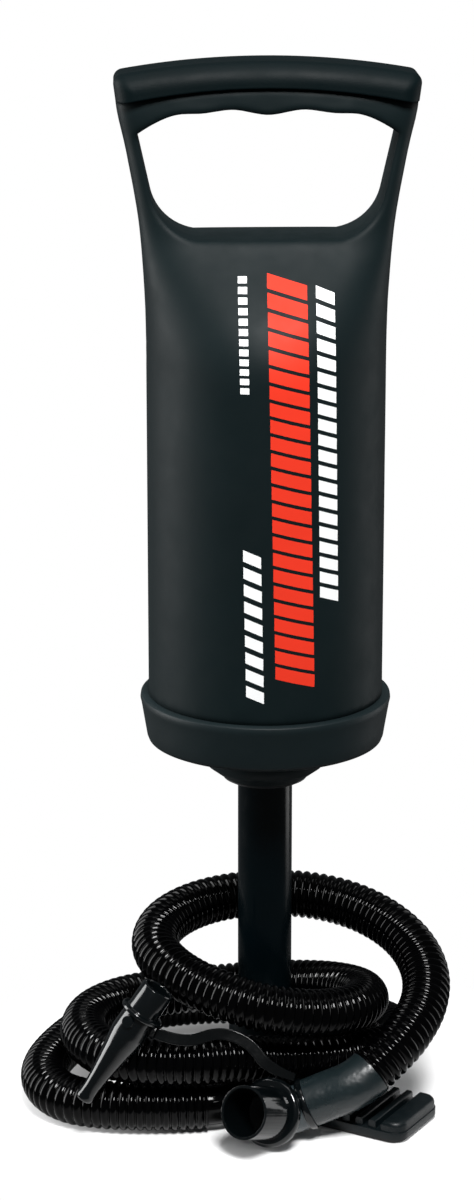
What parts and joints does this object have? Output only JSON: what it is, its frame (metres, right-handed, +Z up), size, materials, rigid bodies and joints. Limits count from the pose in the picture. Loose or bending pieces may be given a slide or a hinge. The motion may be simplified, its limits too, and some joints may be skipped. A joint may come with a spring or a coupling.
{
  "type": "double-action hand air pump",
  "caption": "Upright double-action hand air pump: D-handled barrel sliding and turning on a footed stem, with a corrugated hose wound loosely round it and a push-in end nozzle.",
  "frame": {"origin": "on the floor under the stem's axis, midway between the two feet", "axes": "+Z up along the stem; +X to the right along the handle's grip; +Y away from the side the hose end lies on"},
  "size_m": [0.1653, 0.1442, 0.3976],
  "materials": {
    "housing": "satin moulded charcoal grey plastic",
    "cap": "satin moulded charcoal grey plastic",
    "grip": "fine grained near-black plastic",
    "stem": "smooth black plastic tube",
    "inner_plastic": "plain black plastic",
    "base": "satin black plastic",
    "seal_rubber": "soft black rubber",
    "valve_rubber": "thin soft rubber sheet",
    "screws": "zinc plated steel",
    "hose": "glossy black corrugated vinyl",
    "fittings": "glossy black plastic",
    "small_fittings": "glossy black soft plastic"
  },
  "bodies": {
    "base": {"base_body": "base", "base_bottom_cover": "base", "base_screws": "screws", "hub_foot_ring": "seal_rubber", "foot_pads": "seal_rubber", "stem_tube": "stem", "delivery_tube": "inner_plastic", "piston_body": "inner_plastic", "piston_cover": "inner_plastic", "piston_screws": "screws", "piston_seal": "seal_rubber", "hose_base_cuff": "fittings", "hose": "hose", "hose_end_cuff": "fittings", "nozzle_sleeve": "fittings", "hose_end_nozzle": "fittings", "tether_ring": "small_fittings", "tether_strap": "small_fittings", "small_nozzle": "small_fittings", "small_nozzle_collar": "small_fittings"},
    "gland": {"gland_bush": "inner_plastic", "rod_seal": "seal_rubber", "gland_retainer": "inner_plastic"},
    "barrel": {"barrel_housing": "housing", "grip_cover": "grip", "grip_screws": "screws", "end_cap": "cap", "barrel_seal": "seal_rubber", "upper_stop_pad": "seal_rubber", "lower_stop_ring": "seal_rubber"},
    "upper_intake_valve": {"upper_intake_disc": "valve_rubber"},
    "upper_delivery_valve": {"upper_delivery_disc": "valve_rubber"},
    "lower_intake_valve": {"lower_intake_disc": "valve_rubber"},
    "lower_delivery_valve": {"lower_delivery_disc": "valve_rubber"}
  },
  "joints": [
    {"name": "barrel_slide", "type": "slide", "parent": "base", "child": "gland", "axis": [0, 0, 1], "range_m": [-0.06, 0.021]},
    {"name": "barrel_swivel", "type": "hinge", "parent": "gland", "child": "barrel", "pos_m": [0, 0, 0.15], "axis": [0, 0, 1], "continuous": true},
    {"name": "upper_intake_lift", "type": "slide", "parent": "base", "child": "upper_intake_valve", "axis": [0, 0, 1], "range_m": [0, 0.001]},
    {"name": "upper_delivery_lift", "type": "slide", "parent": "base", "child": "upper_delivery_valve", "axis": [0, 0, 1], "range_m": [0, 0.001]},
    {"name": "lower_intake_lift", "type": "slide", "parent": "base", "child": "lower_intake_valve", "axis": [0, 0, 1], "range_m": [0, 0.001]},
    {"name": "lower_delivery_lift", "type": "slide", "parent": "base", "child": "lower_delivery_valve", "axis": [0, 0, 1], "range_m": [0, 0.001]}
  ]
}
